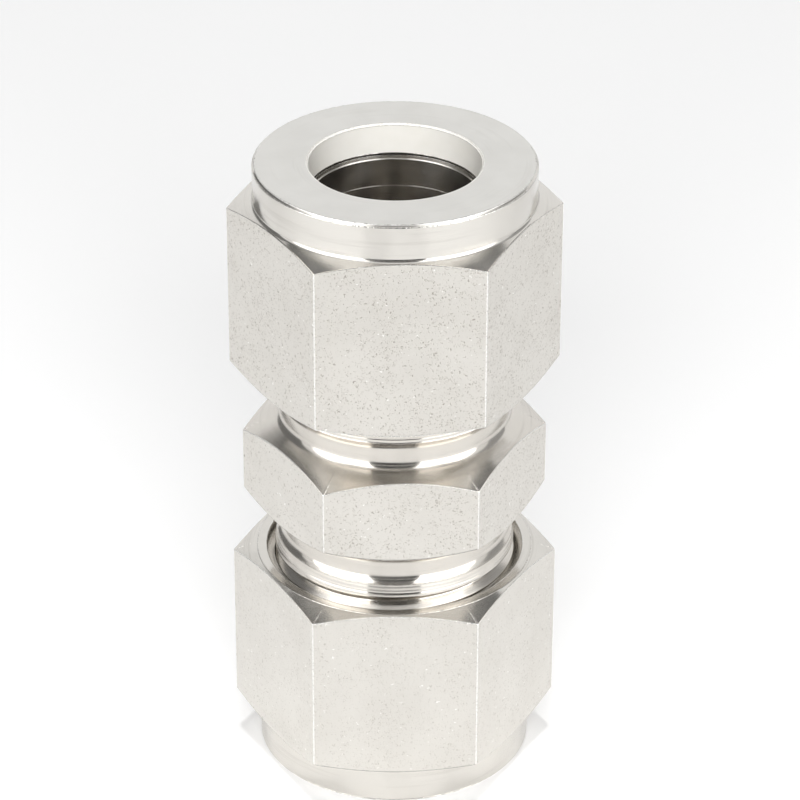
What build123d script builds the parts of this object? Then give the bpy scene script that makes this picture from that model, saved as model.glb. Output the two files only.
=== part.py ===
from build123d import *
import math
import os

# Straight union for two lengths of half-inch tube: a hex body with a threaded
# barrel at each end, and a nut with a front and a back ferrule on each barrel.
# Sizes are millimetres and degrees. The flow axis is Z, z = 0 is the middle of
# the hex body, and the nuts stand finger-tight.

# Tube, and the play that each bore gives it on diameter
tube_diameter = 12.7
socket_play = 0.13
back_ferrule_play = 0.15
front_ferrule_play = 0.35
nut_play = 0.45

# Hex body, from the web between its two tube sockets outwards
web_length = 5.7
shoulder_width = 1.215
shoulder_break = 0.3
flat_length = 6.82
flat_step = 0.82
body_chamfer_angle = 28.0
neck_length = 1.7
neck_depth = 0.6
neck_fillet = 0.8
runout_angle = 45.0
barrel_length = 13.415
barrel_lead_in = 0.7

# Conical seat in the mouth of each barrel
seat_angle = 20.0
seat_width = 1.485
mouth_wall = 1.6

# Front ferrule
front_wall = 1.675
front_land = 1.0
front_nose_wall = 0.15
front_bevel_width = 0.875
front_edge_break = 0.15

# Back ferrule
back_wall = 1.525
back_tip_wall = 0.1
back_nose_wall = 0.775
back_face_wall = 0.575
back_flange_gap = 0.35
back_flange_length = 1.4
back_entry_length = 0.25
back_entry_flare = 0.05
back_entry_step = 0.07

# Nuts
nut_length = 17.7
nut_wall = 1.5325
nut_chamfer_angle = 22.0
nut_skirt_step = 0.2125
nut_countersink = 0.62
nut_bore_length = 2.55
nut_bore_edge = 0.12
chamber_play = 0.3
chamber_length = 0.5
collar_length = 2.95
collar_step = 0.2625
collar_fillet = 0.3
collar_edge = 0.2
upper_nut_clocking = -0.62
lower_nut_clocking = -2.4

# Clearances between pieces that meet
cone_clearance = 0.05
face_clearance = 0.1
thread_clearance = 0.08

bevel_angle = 45.0
hex_sides = 6


def slope(angle):
    """Rise for each unit of run of a surface that leans by this angle."""
    return math.tan(math.radians(angle))


def corner_radius(flat_radius):
    """Radius through the corners of a hexagon whose flats touch this radius."""
    return flat_radius / math.cos(math.pi / hex_sides)


# Radii of the body, each a wall or a step out from the tube
socket_radius = (tube_diameter + socket_play) / 2
flow_radius = socket_radius - shoulder_width
seat_mouth_radius = socket_radius + seat_width
barrel_radius = seat_mouth_radius + mouth_wall
neck_radius = barrel_radius - neck_depth
body_flat_radius = barrel_radius + flat_step

# Heights of the body above its middle
shoulder_height = web_length / 2
neck_height = flat_length / 2 + (body_flat_radius - neck_radius) * slope(body_chamfer_angle)
runout_height = neck_height + neck_length
crest_height = runout_height + neck_depth / slope(runout_angle)
barrel_height = runout_height + barrel_length
seat_bottom_height = barrel_height - seat_width / slope(seat_angle)
seat_gap = cone_clearance / math.cos(math.radians(seat_angle))


def height_in_seat(radius):
    """Height at which a cone that lies in the seat has this radius."""
    return barrel_height + (radius + seat_gap - seat_mouth_radius) / slope(seat_angle)


# Front ferrule, placed by its cone in the seat
front_bore_radius = (tube_diameter + front_ferrule_play) / 2
front_radius = front_bore_radius + front_wall
front_nose_radius = front_bore_radius + front_nose_wall
front_bevel_radius = front_bore_radius + front_bevel_width
front_nose_height = height_in_seat(front_nose_radius)
front_cone_height = height_in_seat(front_radius)
front_rear_height = front_cone_height + front_land
front_bevel_height = front_rear_height - front_bevel_width / slope(bevel_angle)
bevel_gap = cone_clearance / math.sin(math.radians(bevel_angle))


def height_in_bevel(radius):
    """Height at which a nose that lies in the front ferrule's bevel has this radius."""
    return front_bevel_height + (radius + bevel_gap - front_bore_radius) / slope(bevel_angle)


# Back ferrule, placed by its nose in the bevel of the front ferrule
back_bore_radius = (tube_diameter + back_ferrule_play) / 2
back_radius = back_bore_radius + back_wall
back_tip_radius = back_bore_radius + back_tip_wall
back_nose_radius = back_bore_radius + back_nose_wall
back_face_radius = back_bore_radius + back_face_wall
back_step_radius = back_bore_radius + back_entry_step
back_entry_radius = back_step_radius + back_entry_flare
back_tip_height = height_in_bevel(back_tip_radius)
back_nose_height = height_in_bevel(back_nose_radius)
back_flange_height = front_rear_height + back_flange_gap
back_face_height = back_flange_height + back_flange_length
back_edge_height = back_face_height - (back_radius - back_face_radius) * slope(bevel_angle)
back_step_height = back_face_height - back_entry_length
back_bore_height = back_step_height - back_entry_step * slope(bevel_angle)

# Nut, placed by its drive cone behind the back ferrule
drive_height = back_face_height + face_clearance
drive_radius = back_face_radius + bevel_gap - face_clearance / slope(bevel_angle)
chamber_radius = max(front_radius, back_radius) + chamber_play
chamber_top_height = drive_height - (chamber_radius - drive_radius) * slope(bevel_angle)
thread_end_height = chamber_top_height - chamber_length
thread_radius = barrel_radius + thread_clearance
nut_flat_radius = thread_radius + nut_wall
nut_bore_radius = (tube_diameter + nut_play) / 2
nut_end_height = drive_height + nut_bore_length
nut_skirt_height = nut_end_height - nut_length
nut_skirt_radius = nut_flat_radius - nut_skirt_step
collar_radius = nut_flat_radius - collar_step
collar_height = nut_end_height - collar_length


def profile_plane(side):
    """Plane through the axis whose own y runs outwards along that end."""
    return Plane(origin=(0, 0, 0), x_dir=(1, 0, 0), z_dir=(0, -side, 0))


def end_plane(side, height):
    """Plane square to the axis at this height above the middle, facing outwards."""
    return Plane(origin=(0, 0, side * height), x_dir=(1, 0, 0), z_dir=(0, 0, side))


def turned_profile(side, corners):
    """Face for turning. Each corner is its radius, its height and its fillet."""
    points = [(radius, height) for radius, height, fillet in corners]
    fillets = [fillet for radius, height, fillet in corners]
    with BuildSketch(profile_plane(side)) as profile:
        with BuildLine():
            FilletPolyline(points, radius=fillets, close=True)
        make_face()
    return profile.sketch


def both_ends(corners):
    """Corners from the middle to one end, carried on round the other end."""
    return corners + [(radius, -height, fillet) for radius, height, fillet in reversed(corners)]


def build_body():
    """Hex bar turned down to two barrels, then bored from both ends."""
    outer = corner_radius(body_flat_radius)
    outline = [
        (outer, flat_length / 2 - (outer - body_flat_radius) * slope(body_chamfer_angle), 0),
        (neck_radius, neck_height, neck_fillet),
        (neck_radius, runout_height, neck_fillet),
        (barrel_radius, crest_height, 0),
        (barrel_radius, barrel_height - barrel_lead_in, 0),
        (barrel_radius - barrel_lead_in, barrel_height, 0),
        (0, barrel_height, 0),
    ]
    passage = [
        (flow_radius, shoulder_height - shoulder_break, 0),
        (flow_radius + shoulder_break, shoulder_height, 0),
        (socket_radius, shoulder_height, 0),
        (socket_radius, seat_bottom_height, 0),
        (seat_mouth_radius, barrel_height, 0),
        (0, barrel_height, 0),
    ]
    with BuildPart() as body:
        with BuildSketch():
            RegularPolygon(body_flat_radius, hex_sides, major_radius=False)
        extrude(amount=barrel_height, both=True)
        revolve(turned_profile(1, both_ends(outline)), axis=Axis.Z, mode=Mode.INTERSECT)
        revolve(turned_profile(1, both_ends(passage)), axis=Axis.Z, mode=Mode.SUBTRACT)
    return body


def build_nut(side, clocking):
    """Hex nut with a round collar, turned from bar and bored for its ferrules."""
    outer = corner_radius(nut_flat_radius)
    chamfer = slope(nut_chamfer_angle)
    outline = [
        (0, nut_skirt_height, 0),
        (nut_skirt_radius, nut_skirt_height, 0),
        (outer, nut_skirt_height + (outer - nut_skirt_radius) * chamfer, 0),
        (outer, collar_height - (outer - collar_radius) * chamfer, 0),
        (collar_radius, collar_height, collar_fillet),
        (collar_radius, nut_end_height - collar_edge, 0),
        (collar_radius - collar_edge, nut_end_height, 0),
        (0, nut_end_height, 0),
    ]
    passage = [
        (0, nut_skirt_height, 0),
        (thread_radius + nut_countersink, nut_skirt_height, 0),
        (thread_radius, nut_skirt_height + nut_countersink, 0),
        (thread_radius, thread_end_height, 0),
        (chamber_radius, thread_end_height, 0),
        (chamber_radius, chamber_top_height, 0),
        (drive_radius, drive_height, 0),
        (nut_bore_radius, drive_height, 0),
        (nut_bore_radius, nut_end_height - nut_bore_edge, 0),
        (nut_bore_radius + nut_bore_edge, nut_end_height, 0),
        (0, nut_end_height, 0),
    ]
    with BuildPart() as nut:
        with BuildSketch(end_plane(side, nut_skirt_height)):
            RegularPolygon(nut_flat_radius, hex_sides, major_radius=False, rotation=side * clocking)
        extrude(amount=nut_length)
        revolve(turned_profile(side, outline), axis=Axis.Z, mode=Mode.INTERSECT)
        revolve(turned_profile(side, passage), axis=Axis.Z, mode=Mode.SUBTRACT)
    return nut


def build_front_ferrule(side):
    """Long cone that seals in the body's seat, with a bevel in its rear."""
    section = [
        (front_bore_radius, front_nose_height, 0),
        (front_nose_radius, front_nose_height, 0),
        (front_radius, front_cone_height, 0),
        (front_radius, front_rear_height - front_edge_break, 0),
        (front_radius - front_edge_break, front_rear_height, 0),
        (front_bevel_radius, front_rear_height, 0),
        (front_bore_radius, front_bevel_height, 0),
    ]
    with BuildPart() as ferrule:
        revolve(turned_profile(side, section), axis=Axis.Z)
    return ferrule


def build_back_ferrule(side):
    """Short ferrule: nose in the front one, flange under the nut, flared entry."""
    section = [
        (back_bore_radius, back_tip_height, 0),
        (back_tip_radius, back_tip_height, 0),
        (back_nose_radius, back_nose_height, 0),
        (back_nose_radius, back_flange_height, 0),
        (back_radius, back_flange_height, 0),
        (back_radius, back_edge_height, 0),
        (back_face_radius, back_face_height, 0),
        (back_entry_radius, back_face_height, 0),
        (back_step_radius, back_step_height, 0),
        (back_bore_radius, back_bore_height, 0),
    ]
    with BuildPart() as ferrule:
        revolve(turned_profile(side, section), axis=Axis.Z)
    return ferrule


pieces = {"union_body": build_body()}
for end, side, clocking in (("upper", 1, upper_nut_clocking), ("lower", -1, lower_nut_clocking)):
    pieces[end + "_nut"] = build_nut(side, clocking)
    pieces[end + "_front_ferrule"] = build_front_ferrule(side)
    pieces[end + "_back_ferrule"] = build_back_ferrule(side)

os.makedirs("parts", exist_ok=True)
for name, piece in pieces.items():
    piece.part.label = name
    export_step(piece.part, f"parts/{name}.step")

print("overall length", round(2 * nut_end_height, 3))
print("tube insertion depth", round(nut_end_height - shoulder_height, 3))
print("across flats: body", round(2 * body_flat_radius, 3), "nuts", round(2 * nut_flat_radius, 3))
print("room to tighten", round(thread_end_height - barrel_height, 3))
print("full thread held", round(barrel_height - barrel_lead_in - nut_skirt_height - nut_countersink, 3))
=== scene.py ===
import bmesh
import bpy
import math
import numpy as np
from mathutils import Matrix, Vector


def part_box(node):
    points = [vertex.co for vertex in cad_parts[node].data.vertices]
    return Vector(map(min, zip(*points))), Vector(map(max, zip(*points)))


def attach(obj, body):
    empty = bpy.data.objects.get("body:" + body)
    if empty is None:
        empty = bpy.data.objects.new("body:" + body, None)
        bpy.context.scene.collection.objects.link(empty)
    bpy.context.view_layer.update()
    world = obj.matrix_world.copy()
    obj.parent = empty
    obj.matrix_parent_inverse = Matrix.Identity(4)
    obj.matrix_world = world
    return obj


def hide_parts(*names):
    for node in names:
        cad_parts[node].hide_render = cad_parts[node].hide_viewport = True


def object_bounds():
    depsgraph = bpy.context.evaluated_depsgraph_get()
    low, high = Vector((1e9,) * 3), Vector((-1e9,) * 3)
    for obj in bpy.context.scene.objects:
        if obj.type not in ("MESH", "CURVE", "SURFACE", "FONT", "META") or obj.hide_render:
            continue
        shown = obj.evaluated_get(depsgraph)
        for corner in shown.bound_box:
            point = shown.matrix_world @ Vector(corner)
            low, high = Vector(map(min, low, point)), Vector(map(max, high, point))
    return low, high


# Straight compression tube union in stainless steel: a hex body with two threaded barrels, two hex nuts
# with a round collar, and a front and a back ferrule under each nut. Sizes are in millimetres and degrees
# unless a name says otherwise, and what the frame knows is read from the frame.

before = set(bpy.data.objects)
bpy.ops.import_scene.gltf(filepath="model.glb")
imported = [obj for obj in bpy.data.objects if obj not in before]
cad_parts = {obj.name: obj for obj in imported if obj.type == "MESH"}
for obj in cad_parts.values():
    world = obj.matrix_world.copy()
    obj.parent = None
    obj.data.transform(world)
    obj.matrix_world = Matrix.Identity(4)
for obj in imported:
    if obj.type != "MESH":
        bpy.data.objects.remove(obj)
cadLow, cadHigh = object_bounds()
mm = 0.001
turn = 2 * math.pi
sideOf = {"upper": 1, "lower": -1}
turnedFinish, drawnFinish, platedFinish, facedFinish = range(4)  # which of a piece's materials a face takes


def boxOf(node):
    # lowest and highest corner of a frame node, in millimetres
    low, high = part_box(node)
    return np.array(low) / mm, np.array(high) / mm


# One thread on barrels and nuts, 60 degrees, right-handed
thread = {
    "pitch": 1.27,
    "flankSlope": 1 / math.tan(math.radians(30)),
    "crestFlat": 1.27 / 8,
    "depth": 0.69,
    "startHeight": 6.95,  # where the first shallow groove begins
    "fadeLength": 0.4,  # the groove gets deeper over this length
    "softness": 0.03,  # rounding of crest and root, in pitches
    "nutPlay": 0.06,  # gap along the axis to each flank
    "nutDepth": 0.66,
    "phase": {"upper": 0.128, "lower": 0.447},
}


def hexReach(flatRadius, cornerRound):
    # half the angle that a rounded hexagon corner takes, seen from the axis
    centre = (flatRadius - cornerRound) / math.cos(math.pi / 6)
    return math.atan2(cornerRound / 2, centre + cornerRound * math.cos(math.pi / 6))


def hexRadius(theta, flatRadius, cornerRound, clocking):
    # distance from the axis to a hexagon: the flat's radius over the cosine of the angle from the flat's
    # middle, and beside a corner the far side of a circle that touches both flats
    away = (theta - clocking + math.pi / 6) % (math.pi / 3) - math.pi / 6
    straight = flatRadius / np.cos(math.pi / 6 - np.abs(away))
    centre = (flatRadius - cornerRound) / math.cos(math.pi / 6)
    reach = hexReach(flatRadius, cornerRound)
    inside = np.clip(away, -reach, reach)
    arc = centre * np.cos(inside) + np.sqrt(cornerRound**2 - (centre * np.sin(inside)) ** 2)
    return np.where(np.abs(away) < reach, arc, straight)


def ringAngles(count, clocking=0.0, reach=None):
    # even angles round the axis, and closer ones across and beside each hexagon corner
    angles = np.arange(count) * turn / count
    if reach:
        beside = np.array([-6, -1.5, -1, -0.5, 0, 0.5, 1, 1.5, 6]) * reach
        corners = clocking + np.arange(6) * turn / 6
        close = (corners[:, None] + beside).ravel() % turn
        apart = np.abs((angles[:, None] - close + math.pi) % turn - math.pi).min(axis=1)
        angles = np.sort(np.concatenate([angles[apart > 2 * reach], close]))
    return np.append(angles, angles[0] + turn)


def threadRows(theta, end, heights, radiusAt):
    # rows that climb one pitch in a turn, held between two heights. radiusAt gives the radius from the
    # distance along the axis to the middle of the male groove, and from the height
    side, low, high = sideOf[end], min(heights), max(heights)
    pitch, soft, flat = thread["pitch"], thread["softness"], thread["crestFlat"] / thread["pitch"] / 2
    root = 0.5 - flat * 2
    marks = np.array([0, flat - soft / 2, flat + soft / 2, root - soft / 2, root + soft / 2])
    marks = np.concatenate([marks, [0.5], 1 - marks[:0:-1]])
    climb = side * theta / turn + thread["phase"][end]
    first, last = math.floor(low / pitch - climb.max()), math.ceil(high / pitch - climb.min())
    steps = (np.arange(first, last + 1)[:, None] + marks).ravel()
    height = np.clip((steps[:, None] + climb) * pitch, low, high)
    distance = np.abs((height / pitch - climb) % 1 - 0.5) * pitch
    rows = np.stack([radiusAt(distance, height), height], axis=-1)
    return rows if heights[1] > heights[0] else rows[::-1]


def smoothStep(x):
    # cubic step from 0 to 1 with level ends
    x = np.clip(x, 0, 1)
    return x * x * (3 - 2 * x)


def sectionRows(theta, stops, steps=4, hold=0.04, sharpest=0.08):
    # rows round a closed section. A stop is (radius, height, rounding, finish) or a block of ready rows.
    # A corner turns along an arc, a weighted curve from one side to the other with the corner as its
    # middle point, and a row close to each end of it keeps the faces beside it plain
    def spread(stop):
        return np.stack([np.broadcast_to(stop[0], theta.shape), np.broadcast_to(stop[1], theta.shape)], -1)

    ends = [(s["rows"][0], s["rows"][-1]) if isinstance(s, dict) else (spread(s), spread(s)) for s in stops]
    rows, edges, finishes = [], [], []
    for i, stop in enumerate(stops):
        if isinstance(stop, dict):
            rows.extend(stop["rows"])
            edges.extend([0.0] * len(stop["rows"]))
            finishes.extend([stop["finish"]] * len(stop["rows"]))
            continue
        here, before, after = ends[i][0], ends[i - 1][1], ends[(i + 1) % len(stops)][0]
        back = (before - here) / np.linalg.norm(before - here, axis=-1, keepdims=True)
        on = (after - here) / np.linalg.norm(after - here, axis=-1, keepdims=True)
        half = np.arccos(np.clip((back * on).sum(-1, keepdims=True), -1, 1)) / 2
        tangent, weight = stop[2] / np.tan(half), np.sin(half)
        start, finish = here + back * tangent, here + on * tangent
        rows.append(start + back * hold)
        for t in np.linspace(0, 1, steps + 1):
            total = (1 - t) ** 2 + 2 * weight * t * (1 - t) + t * t
            rows.append(((1 - t) ** 2 * start + 2 * weight * t * (1 - t) * here + t * t * finish) / total)
        rows.append(finish + on * hold)
        sharp = 1.0 if stop[2] <= sharpest else 0.0
        edges.extend([0.0] + [sharp] * (steps + 1) + [0.0])
        finishes.extend([stop[3]] * (steps + 3))
    return np.array(rows), np.array(edges), np.array(finishes)


def ringPiece(name, theta, section, side, materials, hexEdges=None):
    # surface of a section carried round the axis: x and y are the radius times the cosine and sine of the
    # angle, z is the height. The map has the angle across and the length along the section upwards
    rows, edges, finishes = section
    count, columns = rows.shape[:2]
    radius, height = rows[..., 0], rows[..., 1]
    points = np.stack([radius * np.cos(theta), radius * np.sin(theta), side * height], -1) * mm
    step = np.linalg.norm(np.diff(rows, axis=0, append=rows[:1]), axis=-1).mean(axis=1)
    length = np.concatenate([[0], np.cumsum(step)])
    i, j = np.meshgrid(np.arange(count), np.arange(columns - 1), indexing="ij")
    corner = [(i, j), (i, j + 1), (i + 1, j + 1), (i + 1, j)]
    faces = np.stack([(a % count) * columns + b for a, b in corner], axis=-1).reshape(-1, 4)
    mesh = bpy.data.meshes.new(name)
    mesh.from_pydata(points.reshape(-1, 3), [], faces)
    maps = np.stack([np.stack([theta[b] / turn, length[a] / length[-1]], -1) for a, b in corner], axis=-2)
    mesh.uv_layers.new(name="ringMap").data.foreach_set("uv", maps.ravel())
    mesh.polygons.foreach_set("material_index", np.repeat(finishes, columns - 1))
    # edge mask: small rounded corners, and the hexagon corners on the flats. The materials paint highlights,
    # glints and shade there, and lower the roughness
    edgeWearAndGlint = np.broadcast_to(edges[:, None], (count, columns)).copy()
    if hexEdges is not None:
        onFlat = ((finishes == drawnFinish) | (np.roll(finishes, 1) == drawnFinish)) & (edges == 0)
        edgeWearAndGlint[onFlat] = np.maximum(edgeWearAndGlint[onFlat], hexEdges)
    mesh.attributes.new("edge", "FLOAT", "POINT").data.foreach_set("value", edgeWearAndGlint.ravel())
    solid = bmesh.new()
    solid.from_mesh(mesh)
    bmesh.ops.remove_doubles(solid, verts=solid.verts, dist=2e-4 * mm)
    bmesh.ops.recalc_face_normals(solid, faces=solid.faces)
    solid.to_mesh(mesh)
    solid.free()
    mesh.polygons.foreach_set("use_smooth", np.ones(len(mesh.polygons), dtype=bool))
    for material in materials:
        mesh.materials.append(material)
    piece = bpy.data.objects.new(name, mesh)
    bpy.context.scene.collection.objects.link(piece)
    print("made", name, "with", len(mesh.polygons), "faces")
    return piece


def besideCorners(theta, clocking, reach):
    # 1 across a rounded hexagon corner, 0 from one and a half reaches away
    away = np.abs((theta - clocking + math.pi / 6) % (math.pi / 3) - math.pi / 6)
    return 1 - smoothStep((away - reach) / (0.5 * reach))


# Shader helpers


def addNode(tree, kind, inputs=None, **properties):
    # one node with its own properties, and its inputs set to numbers or linked to sockets
    node = tree.nodes.new("ShaderNode" + kind)
    for key, value in properties.items():
        setattr(node, key, value)
    for key, value in (inputs or {}).items():
        if isinstance(value, bpy.types.NodeSocket):
            tree.links.new(value, node.inputs[key])
        else:
            node.inputs[key].default_value = value
    return node


def calc(tree, operation, *values):
    # one step of arithmetic, as a socket
    return addNode(tree, "Math", dict(enumerate(values)), operation=operation).outputs[0]


def remap(tree, value, low, high, toLow=0.0, toHigh=1.0):
    # value carried from low..high to toLow..toHigh, held at both ends
    inputs = {"Value": value, "From Min": low, "From Max": high, "To Min": toLow, "To Max": toHigh}
    return addNode(tree, "MapRange", inputs, interpolation_type="SMOOTHSTEP").outputs[0]


def blendColours(tree, factor, first, second):
    # second laid over first by factor. The sockets share names, so they are counted: 0 is the factor, 6 and
    # 7 are the two colours, and output 2 is their blend
    return addNode(tree, "Mix", {0: factor, 6: first, 7: second}, data_type="RGBA").outputs[2]


def layColours(tree, base, layers):
    # layers of (mask, strength, colour), each laid over the ones before it by mask times strength
    for mask, strength, colour in layers:
        base = blendColours(tree, calc(tree, "MULTIPLY", mask, strength), base, colour)
    return base


def millimetres(tree):
    # the piece's own coordinates in millimetres
    place = addNode(tree, "TexCoord").outputs["Object"]
    return addNode(tree, "VectorMath", {0: place, "Scale": 1 / mm}, operation="SCALE").outputs[0]


def newGroup(name, inputs, outputs):
    # empty node group with named number inputs and outputs
    group = bpy.data.node_groups.new(name, "ShaderNodeTree")
    for label, value in inputs.items():
        socket = group.interface.new_socket(label, in_out="INPUT", socket_type="NodeSocketFloat")
        socket.default_value = value
    for label in outputs:
        group.interface.new_socket(label, in_out="OUTPUT", socket_type="NodeSocketFloat")
    return group, group.nodes.new("NodeGroupInput").outputs, group.nodes.new("NodeGroupOutput").inputs


def turningGroup():
    # rings left by a cutting tool: noise that changes fast with radius and height and slowly round the axis.
    # The radius is the root of x squared plus y squared, and x and y over it are the place round the axis
    settings = {"Pitch": 0.08, "Length": 2.0, "Coarse Pitch": 0.5}
    group, given, put = newGroup("turningMarks", settings, ["Height", "Streak"])
    part = addNode(group, "SeparateXYZ", {0: millimetres(group)}).outputs
    squares = [calc(group, "POWER", part[axis], 2) for axis in (0, 1)]
    radius = calc(group, "SQRT", calc(group, "ADD", *squares))
    around = [calc(group, "DIVIDE", part[axis], radius) for axis in (0, 1)]

    def ringNoise(across, pitch, detail, roughness):
        # noise in four directions: two round the axis, then the radius and the height, both over the pitch
        spread = {0: across[0], 1: across[1], 2: calc(group, "DIVIDE", radius, pitch)}
        vector, rise = addNode(group, "CombineXYZ", spread).outputs[0], calc(group, "DIVIDE", part[2], pitch)
        inputs = {"Vector": vector, "W": rise, "Scale": 1, "Detail": detail, "Roughness": roughness}
        return addNode(group, "TexNoise", inputs, noise_dimensions="4D").outputs[0]

    drawnOut = [calc(group, "DIVIDE", value, given["Length"]) for value in around]
    fine = ringNoise(drawnOut, given["Pitch"], 3, 0.6)
    coarse = ringNoise(around, given["Coarse Pitch"], 1, 0.5)
    group.links.new(fine, put["Height"])
    group.links.new(calc(group, "MULTIPLY", fine, remap(group, coarse, 0.3, 0.7)), put["Streak"])
    return group


def fleckGroup():
    # short marks of the drawn bar: cells bent by noise and pressed flat, of which a share is marked near its
    # middle. The share is the density times a slow noise, and a few other cells are bright specks of painted
    # glint
    marks = {"bendScale": 4.5, "bend": 0.55, "squash": (1, 1, 1.7), "spreadScale": 0.28, "glintSpeckShare": 0.015}
    settings = {"Size": 0.22, "Density": 0.3, "Seed": 0.0}
    group, given, put = newGroup("barFlecks", settings, ["Flecks", "Glint Specks"])
    place = millimetres(group)

    def vector(operation, first, second):
        # one step of arithmetic on three values at once
        key = "Scale" if operation == "SCALE" else 1
        return addNode(group, "VectorMath", {0: first, key: second}, operation=operation).outputs[0]

    noise = {"Vector": place, "Scale": marks["bendScale"], "Detail": 1}
    bend = addNode(group, "TexNoise", noise).outputs["Color"]
    bend = vector("SCALE", vector("SUBTRACT", bend, (0.5, 0.5, 0.5)), marks["bend"])
    bent = vector("MULTIPLY", vector("ADD", place, bend), marks["squash"])
    moved = vector("ADD", bent, given["Seed"])
    size = calc(group, "DIVIDE", 1.0, given["Size"])
    cells = addNode(group, "TexVoronoi", {"Vector": moved, "Scale": size})
    chance = addNode(group, "SeparateColor", {0: cells.outputs["Color"]}).outputs
    noise = {"Vector": place, "Scale": marks["spreadScale"], "Detail": 2}
    spread = addNode(group, "TexNoise", noise).outputs[0]
    wanted = calc(group, "MULTIPLY", given["Density"], remap(group, spread, 0.25, 0.75, 0.5, 1.5))
    near = remap(group, cells.outputs["Distance"], 0.2, 0.46, 1.0, 0.0)
    dark = calc(group, "MULTIPLY", near, remap(group, chance[1], 0.0, 1.0, 0.35, 1.0))
    flecks = calc(group, "MULTIPLY", dark, calc(group, "LESS_THAN", chance[0], wanted))
    glintSpecks = calc(group, "MULTIPLY", near, calc(group, "GREATER_THAN", chance[2], 1 - marks["glintSpeckShare"]))
    group.links.new(flecks, put["Flecks"])
    group.links.new(glintSpecks, put["Glint Specks"])
    return group


def burrGlintShadeGroup():
    # a cut edge's burr: bright crumbs of painted glint where a fine noise is high and dark crumbs of painted
    # shade where it is low, times the edge's own strip, and more of them in some stretches than in others.
    # The same noise is the burr's height for the bump
    group, given, put = newGroup("edgeBurrGlintAndShade", {"Edge": 0.0, "Size": 0.15}, ["Bright", "Crumb Shade", "Height"])
    place = millimetres(group)
    fine = addNode(
        group, "TexNoise", {"Vector": place, "Scale": calc(group, "DIVIDE", 1.0, given["Size"]), "Detail": 2}
    ).outputs[0]
    patch = addNode(group, "TexNoise", {"Vector": place, "Scale": 0.9, "Detail": 1}).outputs[0]
    often = remap(group, patch, 0.35, 0.65, 0.35, 1.0)
    glintCrumbs = calc(group, "MULTIPLY", remap(group, fine, 0.5, 0.62), often)
    dark = calc(group, "MULTIPLY", remap(group, fine, 0.5, 0.36), often)
    group.links.new(calc(group, "MULTIPLY", glintCrumbs, given["Edge"]), put["Bright"])
    group.links.new(calc(group, "MULTIPLY", dark, given["Edge"]), put["Crumb Shade"])
    group.links.new(calc(group, "MULTIPLY", fine, given["Edge"]), put["Height"])
    return group


def cloudGroup():
    # broad uneven wear from handling and washing
    group, given, put = newGroup("softClouds", {"Scale": 0.25}, ["Cloud"])
    noise = addNode(group, "TexNoise", {"Vector": millimetres(group), "Scale": given["Scale"], "Detail": 4})
    group.links.new(remap(group, noise.outputs[0], 0.25, 0.75), put["Cloud"])
    return group


groups = {"turning": turningGroup(), "flecks": fleckGroup(), "burrGlintShade": burrGlintShadeGroup(), "clouds": cloudGroup()}
print("node groups built")


def useGroup(tree, name, inputs):
    # one placed node group, as its outputs
    return addNode(tree, "Group", inputs, node_tree=groups[name]).outputs


def startMaterial(name):
    # an empty node material with a metal shader joined to its output
    material = bpy.data.materials.new(name)
    material.use_nodes = True
    tree = material.node_tree
    tree.nodes.clear()
    shader = addNode(tree, "BsdfPrincipled", {"Metallic": 1.0})
    tree.links.new(shader.outputs[0], addNode(tree, "OutputMaterial").inputs["Surface"])
    edge = addNode(tree, "Attribute", attribute_name="edge").outputs["Fac"]
    return material, tree, shader, edge


def addBump(tree, shader, layers):
    # several heights, each with its depth in millimetres, laid one over the other
    normal = None
    for height, depth in layers:
        inputs = {"Height": height, "Distance": depth * mm, "Strength": 1.0}
        if normal:
            inputs["Normal"] = normal
        normal = addNode(tree, "Bump", inputs).outputs[0]
    tree.links.new(normal, shader.inputs["Normal"])


def setFinish(tree, shader, base, cloud, values):
    # colour, and a roughness that goes from its first value to its second with the clouds
    tree.links.new(base, shader.inputs["Base Color"])
    tree.links.new(remap(tree, cloud, 0.0, 1.0, *values["roughness"]), shader.inputs["Roughness"])


def flatSteel(name, values):
    # drawn hex bar: satin, with coarse and fine flecks, specks of painted glint, a painted highlight along
    # the broken edges and crumbs of painted shade on them. The roughness rises in the flecks and falls on the
    # edges
    material, tree, shader, edge = startMaterial(name)
    size, fineSize, seed = values["fleckSize"], values["fleckSize"] * values["fineShare"], values["seed"]
    flecks = useGroup(tree, "flecks", {"Size": size, "Density": values["density"], "Seed": seed})
    fine = useGroup(tree, "flecks", {"Size": fineSize, "Density": values["fineDensity"], "Seed": seed + 3.0})
    burrGlintShade = useGroup(tree, "burrGlintShade", {"Edge": edge, "Size": values["crumbSize"]})
    cloud = useGroup(tree, "clouds", {"Scale": values["cloudScale"]})["Cloud"]
    layers = [
        (fine["Flecks"], values["fineDepth"], values["fleckColour"]),
        (flecks["Flecks"], values["fleckDepth"], values["fleckColour"]),
        # specks of painted glint
        (flecks["Glint Specks"], 1.0, values["glintSpeckColour"]),
        # painted highlight along the broken edges
        (edge, values["edgeHighlightStrength"], values["edgeHighlightColour"]),
        # painted shade in the crumbs on the edges
        (burrGlintShade["Crumb Shade"], values["flatCrumbShadeStrength"], values["crumbShadeColour"]),
    ]
    base = layColours(tree, blendColours(tree, cloud, values["colour"], values["colourWorn"]), layers)
    tree.links.new(base, shader.inputs["Base Color"])
    rough = remap(tree, cloud, 0.0, 1.0, *values["roughness"])
    rough = calc(tree, "ADD", rough, calc(tree, "MULTIPLY", edge, -values["edgePolish"]))
    rough = calc(tree, "ADD", rough, calc(tree, "MULTIPLY", flecks["Flecks"], values["fleckRoughness"]))
    tree.links.new(rough, shader.inputs["Roughness"])
    pits = calc(tree, "MULTIPLY", flecks["Flecks"], -1.0)
    addBump(tree, shader, [(pits, values["pitDepth"]), (burrGlintShade["Height"], values["crumbHeight"])])
    return material


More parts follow.
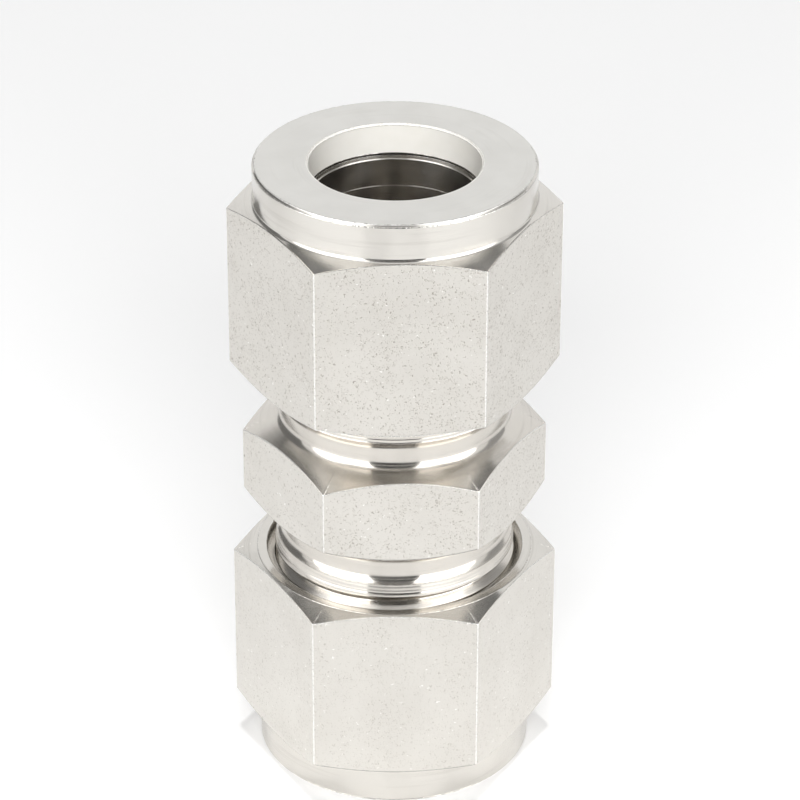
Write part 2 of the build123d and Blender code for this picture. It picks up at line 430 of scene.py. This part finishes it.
def ringedSteel(name, values):
    # cut on a lathe: rings round the axis, darker where their noise is high, and crumbs on its edges with
    # painted glints and painted shade
    material, tree, shader, edge = startMaterial(name)
    rings = {"Pitch": values["pitch"], "Length": values["length"], "Coarse Pitch": values["coarsePitch"]}
    marks = useGroup(tree, "turning", rings)
    burrGlintShade = useGroup(tree, "burrGlintShade", {"Edge": edge, "Size": values["crumbSize"]})
    cloud = useGroup(tree, "clouds", {"Scale": values["cloudScale"]})["Cloud"]
    streak = remap(tree, marks["Streak"], *values["ringRange"])
    layers = [
        (streak, values["ringStrength"], values["ringColour"]),
        # painted glints and painted shade in the crumbs on the edges
        (burrGlintShade["Bright"], values["crumbGlintStrength"], values["crumbGlintColour"]),
        (burrGlintShade["Crumb Shade"], values["crumbShadeStrength"], values["crumbShadeColour"]),
    ]
    base = layColours(tree, blendColours(tree, cloud, values["colour"], values["colourWorn"]), layers)
    setFinish(tree, shader, base, cloud, values)
    addBump(tree, shader, [(marks["Height"], values["groove"]), (burrGlintShade["Height"], values["crumbHeight"])])
    return material, tree, shader


def turnedSteel(name, values):
    # bright turned steel, whose fine rings draw each reflection out across them
    material, tree, shader = ringedSteel(name, values)
    shader.inputs["Anisotropic"].default_value = values["stretch"]
    shader.inputs["Anisotropic Rotation"].default_value = values["acrossRings"]
    tangent = addNode(tree, "Tangent", direction_type="UV_MAP", uv_map="ringMap").outputs[0]
    tree.links.new(tangent, shader.inputs["Tangent"])
    return material


def facedSteel(name, values):
    # end face of the collar: even satin with hardly a ring, and reflections that aren't drawn out
    return ringedSteel(name, values)[0]


def silverPlate(name, values):
    # matt cream silver in the tube bore of the nut
    material, tree, shader, edge = startMaterial(name)
    burrGlintShade = useGroup(tree, "burrGlintShade", {"Edge": edge, "Size": values["crumbSize"]})
    cloud = useGroup(tree, "clouds", {"Scale": values["cloudScale"]})["Cloud"]
    layers = [
        # painted glints and painted shade in the crumbs on the plating's edges
        (burrGlintShade["Bright"], values["crumbGlintStrength"], values["crumbGlintColour"]),
        (burrGlintShade["Crumb Shade"], values["crumbShadeStrength"], values["crumbShadeColour"]),
    ]
    base = layColours(tree, blendColours(tree, cloud, values["colour"], values["colourWorn"]), layers)
    setFinish(tree, shader, base, cloud, values)
    shader.inputs["Metallic"].default_value = values["metallic"]
    addBump(tree, shader, [(burrGlintShade["Height"], values["crumbHeight"])])
    return material


steelLook = {"colour": (0.69, 0.668, 0.627, 1), "colourWorn": (0.66, 0.638, 0.598, 1)}
turnedLook = {
    **steelLook,
    "roughness": (0.14, 0.21),
    "cloudScale": 0.3,
    "stretch": 0.9,
    "acrossRings": 0.25,  # a quarter turn from the map's own direction
    "pitch": 0.07,
    "length": 0.8,
    "coarsePitch": 0.45,
    "groove": 0.0004,
    "ringRange": (0.3, 0.6),
    "ringStrength": 0.22,
    "ringColour": (0.42, 0.39, 0.35, 1),
    "crumbSize": 0.14,
    "crumbHeight": 0.03,
    "crumbGlintStrength": 0.6,
    # edge crumbs: painted glints in near white and painted shade in near black
    "crumbGlintColour": (0.98, 0.97, 0.95, 1),
    "crumbShadeStrength": 0.6,
    "crumbShadeColour": (0.12, 0.11, 0.1, 1),
}
bodyTurnedLook = {**turnedLook, "colour": (0.665, 0.635, 0.588, 1), "colourWorn": (0.64, 0.61, 0.565, 1)}
ferruleLook = {
    **turnedLook,
    "colour": (0.6, 0.57, 0.53, 1),
    "roughness": (0.17, 0.24),
    "crumbHeight": 0.015,
    # weaker painted glints and painted shade in the ferrules' edge crumbs
    "crumbGlintStrength": 0.3,
    "crumbShadeStrength": 0.3,
}
facedLook = {
    **turnedLook,
    "colour": (0.725, 0.715, 0.685, 1),
    "colourWorn": (0.7, 0.69, 0.66, 1),
    "roughness": (0.35, 0.42),
    "cloudScale": 0.35,
    "pitch": 0.12,
    "length": 0.6,
    "coarsePitch": 0.8,
    "groove": 0.0005,
    "ringRange": (0.35, 0.6),
    "ringStrength": 0.12,
    "ringColour": (0.5, 0.48, 0.44, 1),
    "crumbSize": 0.16,
    # stronger painted glints and a lighter painted shade in the collar end's edge crumbs
    "crumbGlintStrength": 0.7,
    "crumbShadeColour": (0.16, 0.15, 0.13, 1),
}
flatLook = {
    **steelLook,
    "roughness": (0.33, 0.41),
    "cloudScale": 0.22,
    "density": 0.5,
    "fleckSize": 0.24,
    "fleckDepth": 0.8,
    "fleckColour": (0.3, 0.27, 0.23, 1),
    "fleckRoughness": 0.15,
    "pitDepth": 0.012,
    "fineShare": 0.55,
    "fineDensity": 0.3,
    "fineDepth": 0.28,
    # colour of the specks of painted glint
    "glintSpeckColour": (0.95, 0.94, 0.92, 1),
    # painted highlight along the broken hex edges: its strength and colour
    "edgeHighlightStrength": 0.75,
    "edgeHighlightColour": (0.93, 0.92, 0.9, 1),
    "edgePolish": 0.15,
    "crumbSize": 0.12,
    "crumbHeight": 0.04,
    # painted shade in the crumbs on the hex edges
    "flatCrumbShadeStrength": 0.35,
    "crumbShadeColour": (0.3, 0.28, 0.25, 1),
}
silverLook = {
    "colour": (0.94, 0.92, 0.87, 1),
    "colourWorn": (0.9, 0.88, 0.82, 1),
    "metallic": 0.1,
    "roughness": (0.45, 0.53),
    "cloudScale": 0.5,
    "crumbSize": 0.2,
    "crumbHeight": 0.06,
    # painted glints and painted shade in the crumbs on the plating's edges
    "crumbGlintStrength": 0.8,
    "crumbGlintColour": (1, 1, 1, 1),
    "crumbShadeStrength": 0.35,
    "crumbShadeColour": (0.3, 0.27, 0.22, 1),
}

nutTurned = turnedSteel("turnedSteel", turnedLook)
upperFlats = flatSteel("upperNutFlats", {**flatLook, "density": 0.62, "seed": 1.0})
nutEnds = [silverPlate("silverPlate", silverLook), facedSteel("facedSteel", facedLook)]
lowerFlats = flatSteel("lowerNutFlats", {**flatLook, "seed": 5.0, "fleckDepth": 0.4})
bodyTurned = turnedSteel("bodyTurnedSteel", bodyTurnedLook)
looks = {
    "upper": [nutTurned, upperFlats, *nutEnds],
    "lower": [nutTurned, lowerFlats, *nutEnds],
    "body": [bodyTurned, flatSteel("bodyFlats", {**flatLook, "seed": 9.0})],
    "ferrule": [turnedSteel("ferruleSteel", ferruleLook)],
}
print("materials built")

# Nuts: a hexagon between two chamfer cones, a round collar, a plated bore and a thread inside

nutSizes = {
    "clocking": {"upper": -0.62, "lower": -2.4},
    "cornerRound": 0.1,
    "skirtStep": 0.2125,
    "chamfer": 22.0,
    "countersink": 0.62,
    "threadRadius": 9.58,
    "collarLength": 2.95,
    "collarStep": 0.2625,
    "collarFillet": 0.3,
    "collarEdge": 0.2,
    "boreRadius": 6.575,
    "boreEdge": 0.12,
    "boreLength": 2.55,
    "driveRadius": 6.97,
    "chamberRadius": 8.5,
    "chamberLength": 0.5,
    "threadGaps": (0.05, 0.02),  # from the thread's first and last rows to the corners beside them
    "columns": 180,
}


def makeNut(end):
    # section of the nut carried round the axis. Each chamfer cone's height falls from the hexagon by the
    # radius times the tangent of its lean, which draws the arcs on the flats
    sizes, side = nutSizes, sideOf[end]
    low, high = boxOf(end + "_nut")
    skirt, tip = sorted(abs(z) for z in (low[2], high[2]))
    clocking = math.radians(sizes["clocking"][end])
    flatRadius = high[0] / math.cos(clocking) * math.cos(math.pi / 6)
    reach = hexReach(flatRadius, sizes["cornerRound"])
    theta = ringAngles(sizes["columns"], clocking, reach)
    hexagon = hexRadius(theta, flatRadius, sizes["cornerRound"], clocking)
    lean = math.tan(math.radians(sizes["chamfer"]))
    skirtRadius, collarRadius = flatRadius - sizes["skirtStep"], flatRadius - sizes["collarStep"]
    collar, drive = tip - sizes["collarLength"], tip - sizes["boreLength"]
    chamberTop = drive - (sizes["chamberRadius"] - sizes["driveRadius"])
    threadEnd = chamberTop - sizes["chamberLength"]
    mouth = sizes["threadRadius"] + sizes["countersink"]
    grooveHalf = (thread["pitch"] - thread["crestFlat"]) / 2
    ridgeHalf = grooveHalf + (sizes["threadRadius"] - barrelRadius) / thread["flankSlope"] - thread["nutPlay"]

    def ridge(distance, height):
        # 60 degree ridge with a flat top, cut off by the countersink's cone
        rise = np.clip((ridgeHalf - distance) * thread["flankSlope"], 0, thread["nutDepth"])
        cone = np.minimum(mouth - (height - skirt), sizes["threadRadius"])
        return np.maximum(sizes["threadRadius"] - rise, cone)

    topGap, footGap = sizes["threadGaps"]
    rows = threadRows(theta, end, (threadEnd - topGap, skirt + sizes["countersink"] + footGap), ridge)
    # each stop: radius, height, rounding of the corner there, finish of the face that follows
    stops = [
        (mouth, skirt, 0.06, turnedFinish),
        (skirtRadius, skirt, 0.08, turnedFinish),
        (hexagon, skirt + (hexagon - skirtRadius) * lean, 0.05, drawnFinish),
        (hexagon, collar - (hexagon - collarRadius) * lean, 0.05, turnedFinish),
        (collarRadius, collar, sizes["collarFillet"], turnedFinish),
        (collarRadius, tip - sizes["collarEdge"], 0.08, turnedFinish),
        (collarRadius - sizes["collarEdge"], tip, 0.08, facedFinish),
        (sizes["boreRadius"] + sizes["boreEdge"], tip, 0.05, platedFinish),
        (sizes["boreRadius"], tip - sizes["boreEdge"], 0.05, platedFinish),
        (sizes["boreRadius"], drive, 0.06, turnedFinish),
        (sizes["driveRadius"], drive, 0.05, turnedFinish),
        (sizes["chamberRadius"], chamberTop, 0.05, turnedFinish),
        (sizes["chamberRadius"], threadEnd, 0.05, turnedFinish),
        (sizes["threadRadius"], threadEnd, 0.02, turnedFinish),
        {"rows": rows, "finish": turnedFinish},
    ]
    edges = besideCorners(theta, clocking, reach)
    nut = ringPiece(end + "NutTurned", theta, sectionRows(theta, stops), side, looks[end], edges)
    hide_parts(end + "_nut")
    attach(nut, end + "_nut")


# Body: hex in the middle, then each way a cone, a neck, a run-out and a threaded barrel

bodySizes = {
    "cornerRound": 0.1,
    "chamfer": 28.0,
    "flatHalf": 3.41,
    "neckRadius": 8.9,
    "neckFillet": 0.8,
    "neckEnd": 5.865,
    "barrelRadius": 9.5,
    "bandDrop": {"upper": 0.0, "lower": 0.2},
    "bandEnd": 7.2,  # height where the band's drop begins
    "ripple": {"upper": 0.024, "lower": 0.004},
    "ripplePitch": 0.28,
    "bandRows": 30,
    "bandGaps": (0.01, 0.06),  # from the band's first and last rows to the thread and to the run-out
    "leadIn": 0.7,
    "threadGap": 0.1,  # from the barrel's tip to the thread's first row
    "seatMouth": 7.9,
    "seatAngle": 20.0,
    "socketRadius": 6.415,
    "shoulder": 2.85,
    "flowRadius": 5.2,
    "flowEdge": 0.3,
    "columns": 180,
}
barrelRadius = bodySizes["barrelRadius"]


def makeBody():
    # section of the body carried round the axis, its stops as in the nuts. Each cone's height falls from the
    # flat by the radius times the tangent of its lean, which draws the arcs on the flats
    sizes = bodySizes
    low, high = boxOf("union_body")
    flatRadius, tip = high[1], high[2]
    reach = hexReach(flatRadius, sizes["cornerRound"])
    theta = ringAngles(sizes["columns"], 0.0, reach)
    hexagon = hexRadius(theta, flatRadius, sizes["cornerRound"], 0.0)
    lean = math.tan(math.radians(sizes["chamfer"]))
    coneTop = sizes["flatHalf"] + (flatRadius - sizes["neckRadius"]) * lean
    flatTop = sizes["flatHalf"] - (hexagon - flatRadius) * lean
    seatDepth = (sizes["seatMouth"] - sizes["socketRadius"]) / math.tan(math.radians(sizes["seatAngle"]))
    seatBottom = tip - seatDepth
    grooveHalf = (thread["pitch"] - thread["crestFlat"]) / 2

    def bandFoot(end):
        # height where the run-out's 45 degree slope reaches the band
        return sizes["neckEnd"] + barrelRadius - sizes["bandDrop"][end] - sizes["neckRadius"]

    def bandRadius(end, height):
        # band beside the run-out: it drops evenly towards the neck, with a fine ripple from the tool's feed
        foot = bandFoot(end)
        drop = sizes["bandDrop"][end] * np.clip((sizes["bandEnd"] - height) / (sizes["bandEnd"] - foot), 0, 1)
        wave = 0.5 + 0.5 * np.cos(turn * (height - foot) / sizes["ripplePitch"] - math.pi)
        return barrelRadius - drop - sizes["ripple"][end] * wave * (height < thread["startHeight"])

    def barrelRows(end):
        # helical rows of the thread, and level ones of the band between it and the run-out
        def groove(distance, height):
            # 60 degree groove that deepens from its start, under the cone of the lead-in
            wide = grooveHalf * smoothStep((height - thread["startHeight"]) / thread["fadeLength"])
            cut = np.clip((wide - distance) * thread["flankSlope"], 0, thread["depth"])
            drop = barrelRadius - bandRadius(end, height)
            leadCone = barrelRadius - sizes["leadIn"] + tip - height
            return np.minimum(barrelRadius - np.maximum(cut, drop), leadCone)

        (nearThread, nearFoot), start = sizes["bandGaps"], thread["startHeight"]
        helix = threadRows(theta, end, (tip - sizes["threadGap"], start), groove)
        levels = np.linspace(start - nearThread, bandFoot(end) + nearFoot, sizes["bandRows"])
        heights = levels[:, None] + 0 * theta
        return np.concatenate([helix, np.stack([bandRadius(end, heights), heights], -1)])

    def mirrored(stops):
        # the same stops at the lower end, in the order that the section goes on
        return [(radius, -height, rounding, finish) for radius, height, rounding, finish in reversed(stops)]

    def outside(end):
        # run-out, neck and cone, up to the hexagon
        return [
            (barrelRadius - sizes["bandDrop"][end], bandFoot(end), 0.03, turnedFinish),
            (sizes["neckRadius"], sizes["neckEnd"], sizes["neckFillet"], turnedFinish),
            (sizes["neckRadius"], coneTop, sizes["neckFillet"], turnedFinish),
        ]

    ends = [
        (sizes["seatMouth"], tip, 0.06, turnedFinish),
        (barrelRadius - sizes["leadIn"], tip, 0.05, turnedFinish),
    ]
    hexFlats = [
        (hexagon, flatTop, 0.05, drawnFinish),
        (hexagon, -flatTop, 0.05, turnedFinish),
    ]
    inside = [
        (sizes["flowRadius"], sizes["shoulder"] - sizes["flowEdge"], 0.05, turnedFinish),
        (sizes["flowRadius"] + sizes["flowEdge"], sizes["shoulder"], 0.05, turnedFinish),
        (sizes["socketRadius"], sizes["shoulder"], 0.1, turnedFinish),
        (sizes["socketRadius"], seatBottom, 0.1, turnedFinish),
    ]
    stops = (
        ends
        + [{"rows": barrelRows("upper"), "finish": turnedFinish}]
        + outside("upper")
        + hexFlats
        + mirrored(outside("lower"))
        + [{"rows": barrelRows("lower")[::-1] * (1, -1), "finish": turnedFinish}]
        + mirrored(ends)
        + mirrored(inside)
        + inside
    )
    edges = besideCorners(theta, 0.0, reach)
    body = ringPiece("bodyTurned", theta, sectionRows(theta, stops, steps=6), 1, looks["body"], edges)
    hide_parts("union_body")
    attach(body, "body")


# Ferrules: the front one is a long cone, the back one has a nose, a flange and a flared entry

ferruleSizes = {
    "frontBore": 6.525,
    "frontNose": 0.15,
    "frontLand": 1.0,
    "frontBevel": 0.875,
    "frontEdge": 0.15,
    "backBore": 6.425,
    "backTip": 0.1,
    "backNose": 0.775,
    "backFace": 0.575,
    "flangeLength": 1.4,
    "entryLength": 0.25,
    "entryFlare": 0.05,
    "entryStep": 0.07,
    "columns": 160,
}


def makeFerrules(end):
    # sections of both ferrules carried round the axis, each from its own box in the frame. A stop is radius,
    # height, rounding of the corner there, and finish of the face that follows
    sizes, side = ferruleSizes, sideOf[end]
    theta = ringAngles(sizes["columns"])
    low, high = boxOf(end + "_front_ferrule")
    bore, outer, (nose, rear) = sizes["frontBore"], high[0], sorted(abs(z) for z in (low[2], high[2]))
    front = [
        (bore, nose, 0.04, turnedFinish),
        (bore + sizes["frontNose"], nose, 0.05, turnedFinish),
        (outer, rear - sizes["frontLand"], 0.2, turnedFinish),
        (outer, rear - sizes["frontEdge"], 0.05, turnedFinish),
        (outer - sizes["frontEdge"], rear, 0.05, turnedFinish),
        (bore + sizes["frontBevel"], rear, 0.05, turnedFinish),
        (bore, rear - sizes["frontBevel"], 0.05, turnedFinish),
    ]
    low, high = boxOf(end + "_back_ferrule")
    bore, outer, (tip, face) = sizes["backBore"], high[0], sorted(abs(z) for z in (low[2], high[2]))
    flange, step = face - sizes["flangeLength"], face - sizes["entryLength"]
    entry = bore + sizes["entryStep"]
    back = [
        (bore, tip, 0.02, turnedFinish),
        (bore + sizes["backTip"], tip, 0.02, turnedFinish),
        (bore + sizes["backNose"], tip + sizes["backNose"] - sizes["backTip"], 0.08, turnedFinish),
        (bore + sizes["backNose"], flange, 0.1, turnedFinish),
        (outer, flange, 0.06, turnedFinish),
        (outer, face - (outer - bore - sizes["backFace"]), 0.05, turnedFinish),
        (bore + sizes["backFace"], face, 0.08, turnedFinish),
        (entry + sizes["entryFlare"], face, 0.015, turnedFinish),
        (entry, step, 0.01, turnedFinish),
        (bore, step - sizes["entryStep"], 0.01, turnedFinish),
    ]
    for label, stops in (("front", front), ("back", back)):
        section = sectionRows(theta, stops, hold=0.01)
        ferrule = ringPiece(f"{end}{label.capitalize()}FerruleTurned", theta, section, side, looks["ferrule"])
        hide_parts(f"{end}_{label}_ferrule")
        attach(ferrule, end + "_ferrules")


makeBody()
for end in sideOf:
    makeNut(end)
    makeFerrules(end)

# Camera, as the photograph was taken

cameraSizes = {
    "distance": 299.006,
    "elevation": 29.494,
    "azimuth": -92.798,
    "targetHeight": 4.942,
    "aimRight": 0.4118,
    "roll": 0.158,
    "focalPixels": 3829.944,
    "imagePixels": 800,
    "sensorWidth": 36.0,
}


def makeCamera():
    # the eye stands at its distance, elevation and azimuth from the target, and looks just beside it
    sizes = cameraSizes
    rise, around = math.radians(sizes["elevation"]), math.radians(sizes["azimuth"])
    out = Vector((math.cos(around) * math.cos(rise), math.sin(around) * math.cos(rise), math.sin(rise)))
    right = Vector((-math.sin(around), math.cos(around), 0))
    target = Vector((0, 0, sizes["targetHeight"]))
    eye = target + out * sizes["distance"]
    back = (eye - target - right * sizes["aimRight"]).normalized()
    level = Vector((0, 0, 1)).cross(back).normalized()
    up = back.cross(level)
    roll = math.radians(sizes["roll"])
    axes = (level * math.cos(roll) + up * math.sin(roll), up * math.cos(roll) - level * math.sin(roll), back)
    data = bpy.data.cameras.new("photoCamera")
    data.sensor_width = sizes["sensorWidth"]
    data.lens = sizes["sensorWidth"] * sizes["focalPixels"] / sizes["imagePixels"]
    data.clip_start, data.clip_end = 0.01, 20
    camera = bpy.data.objects.new("photoCamera", data)
    camera.matrix_world = Matrix.Translation(eye * mm) @ Matrix(axes).transposed().to_4x4()
    bpy.context.scene.collection.objects.link(camera)
    bpy.context.scene.camera = camera
    return math.radians(sizes["azimuth"])


# Stage: pale floor, two soft boxes in front that mirrors see, lamps that only matt surfaces see, and cards
# that darken what mirrors see. Lengths are in metres, and angles go round from where the camera stands

squareCorners = ((-1, -1), (1, -1), (1, 1), (-1, 1))
softBox = {"place": (0.45, 0.4), "size": (0.5, 0.78), "radiance": 2.4, "mirrors": True}
floorLamp = {"place": (0.16, 0.12), "size": (0.1, 0.1), "radiance": 1.8, "mirrors": False}
sideCard = {"distance": 0.4, "width": 0.34, "span": (0.0, 0.5), "bands": [(0, 0.2)]}
highCard = {**sideCard, "span": (0.5, 1.2)}

stageSizes = {
    "floorSize": 6.0,
    "floorColour": (0.93, 0.93, 0.93, 1),
    "floorLift": 0.12,
    "worldStrength": 1.0,
    "lamps": {
        "leftSoftBox": {**softBox, "angle": -53.0},
        "rightSoftBox": {**softBox, "angle": 53.0},
        "topLamp": {
            "angle": 0.0,
            "place": (0.0, 2.0),
            "size": (0.34, 0.34),
            "radiance": 54.0,
            "mirrors": False,
        },
        "frontLamp": {
            "angle": 0.0,
            "place": (1.3, 0.75),
            "size": (1.0, 0.6),
            "radiance": 10.6,
            "mirrors": False,
        },
        "leftFloorLamp": {**floorLamp, "angle": -50.0},
        "rightFloorLamp": {**floorLamp, "angle": 50.0},
    },
    "cards": {
        "front": {
            "angle": 0.0,
            "distance": 0.23,
            "width": 0.195,
            "span": (0.0, 0.5),
            "bands": [(0, 0.02), (0.085, 0.75), (0.125, 0.05), (0.25, 0.3), (0.37, 0.03)],
        },
        "left": {**sideCard, "angle": -120.0},
        "right": {**sideCard, "angle": 112.0, "width": 0.2, "bands": [(0, 0.4)]},
        "leftHigh": {**highCard, "angle": -132.0},
        "rightHigh": {**highCard, "angle": 132.0},
    },
}


def standing(towards, angle, distance, centreHeight):
    # place and turn of something upright that faces the object from an angle round it
    around = towards + math.radians(angle)
    place = Vector((math.cos(around) * distance, math.sin(around) * distance, centreHeight))
    facing = Vector((math.cos(around), math.sin(around), 0))
    axes = (Vector((0, 0, 1)).cross(facing), Vector((0, 0, 1)), facing)
    return Matrix.Translation(place) @ Matrix(axes).transposed().to_4x4()


def makeCard(name, towards, card):
    # upright rectangle that only mirrors see
    low, high = (cadLow[2] + edge for edge in card["span"])
    corners = [(x * card["width"] / 2, y * (high - low) / 2, 0) for x, y in squareCorners]
    mesh = bpy.data.meshes.new(name)
    mesh.from_pydata(corners, [], [(0, 1, 2, 3)])
    mesh.transform(standing(towards, card["angle"], card["distance"], (low + high) / 2))
    mesh.materials.append(glowMaterial(name, card["bands"]))
    sheet = bpy.data.objects.new(name, mesh)
    sheet.visible_camera = sheet.visible_diffuse = sheet.visible_shadow = False
    bpy.context.scene.collection.objects.link(sheet)


def makeLamp(name, towards, lamp):
    # rectangle of light, seen by mirrors alone or by matt surfaces alone. The first kind stands upright and
    # faces the axis, the second faces the origin. Its power is radiance times pi times its area
    (distance, height), around = lamp["place"], towards + math.radians(lamp["angle"])
    place = Vector((math.cos(around) * distance, math.sin(around) * distance, cadLow[2] + height))
    light = bpy.data.lights.new(name, "AREA")
    light.shape = "RECTANGLE"
    light.size, light.size_y = lamp["size"]
    light.energy = lamp["radiance"] * math.pi * light.size * light.size_y
    box = bpy.data.objects.new(name, light)
    facing = Vector((place.x, place.y, 0)) if lamp["mirrors"] else place
    box.matrix_world = Matrix.Translation(place) @ facing.to_track_quat("Z", "Y").to_matrix().to_4x4()
    box.visible_camera = False
    box.visible_glossy, box.visible_diffuse = lamp["mirrors"], not lamp["mirrors"]
    bpy.context.scene.collection.objects.link(box)


def glowMaterial(name, bands):
    # even light in level bands: each band is its lowest height and its strength
    material = bpy.data.materials.new(name)
    material.use_nodes = True
    tree = material.node_tree
    tree.nodes.clear()
    height = addNode(tree, "SeparateXYZ", {0: addNode(tree, "TexCoord").outputs["Object"]}).outputs[2]
    strength = bands[0][1]
    for level, value in bands[1:]:
        above = calc(tree, "GREATER_THAN", height, level)
        strength = addNode(tree, "MapRange", {"Value": above, "To Min": strength, "To Max": value}).outputs[0]
    glow = addNode(tree, "Emission", {"Strength": strength})
    tree.links.new(glow.outputs[0], addNode(tree, "OutputMaterial").inputs["Surface"])
    return material


def makeFloor(sizes):
    # matt floor with a little light of its own where the camera and mirrors see it
    material = bpy.data.materials.new("paleFloor")
    material.use_nodes = True
    tree = material.node_tree
    tree.nodes.clear()
    diffuse = addNode(tree, "BsdfDiffuse", {"Color": sizes["floorColour"]})
    path = addNode(tree, "LightPath").outputs
    mirrored = calc(tree, "MAXIMUM", path["Is Glossy Ray"], path["Is Transmission Ray"])
    seen = calc(tree, "MAXIMUM", path["Is Camera Ray"], mirrored)
    lift = addNode(tree, "Emission", {"Strength": calc(tree, "MULTIPLY", seen, sizes["floorLift"])})
    both = addNode(tree, "AddShader", {0: diffuse.outputs[0], 1: lift.outputs[0]})
    tree.links.new(both.outputs[0], addNode(tree, "OutputMaterial").inputs["Surface"])
    half = sizes["floorSize"] / 2
    mesh = bpy.data.meshes.new("floor")
    mesh.from_pydata([(x * half, y * half, cadLow[2]) for x, y in squareCorners], [], [(0, 1, 2, 3)])
    mesh.materials.append(material)
    floor = bpy.data.objects.new("floor", mesh)
    bpy.context.scene.collection.objects.link(floor)


def makeStage(towards):
    # floor, a white world that only mirrors and the camera see, lamps and cards
    sizes = stageSizes
    makeFloor(sizes)
    world = bpy.data.worlds.new("studio")
    world.use_nodes = True
    world.node_tree.nodes["Background"].inputs["Color"].default_value = (1, 1, 1, 1)
    world.node_tree.nodes["Background"].inputs["Strength"].default_value = sizes["worldStrength"]
    world.cycles_visibility.diffuse = False
    bpy.context.scene.world = world
    for label, lamp in sizes["lamps"].items():
        makeLamp(label, towards, lamp)
    for label, card in sizes["cards"].items():
        makeCard(label + "Gap", towards, card)


makeStage(makeCamera())
bpy.context.scene.view_settings.view_transform = "Standard"
print("stage and camera set")
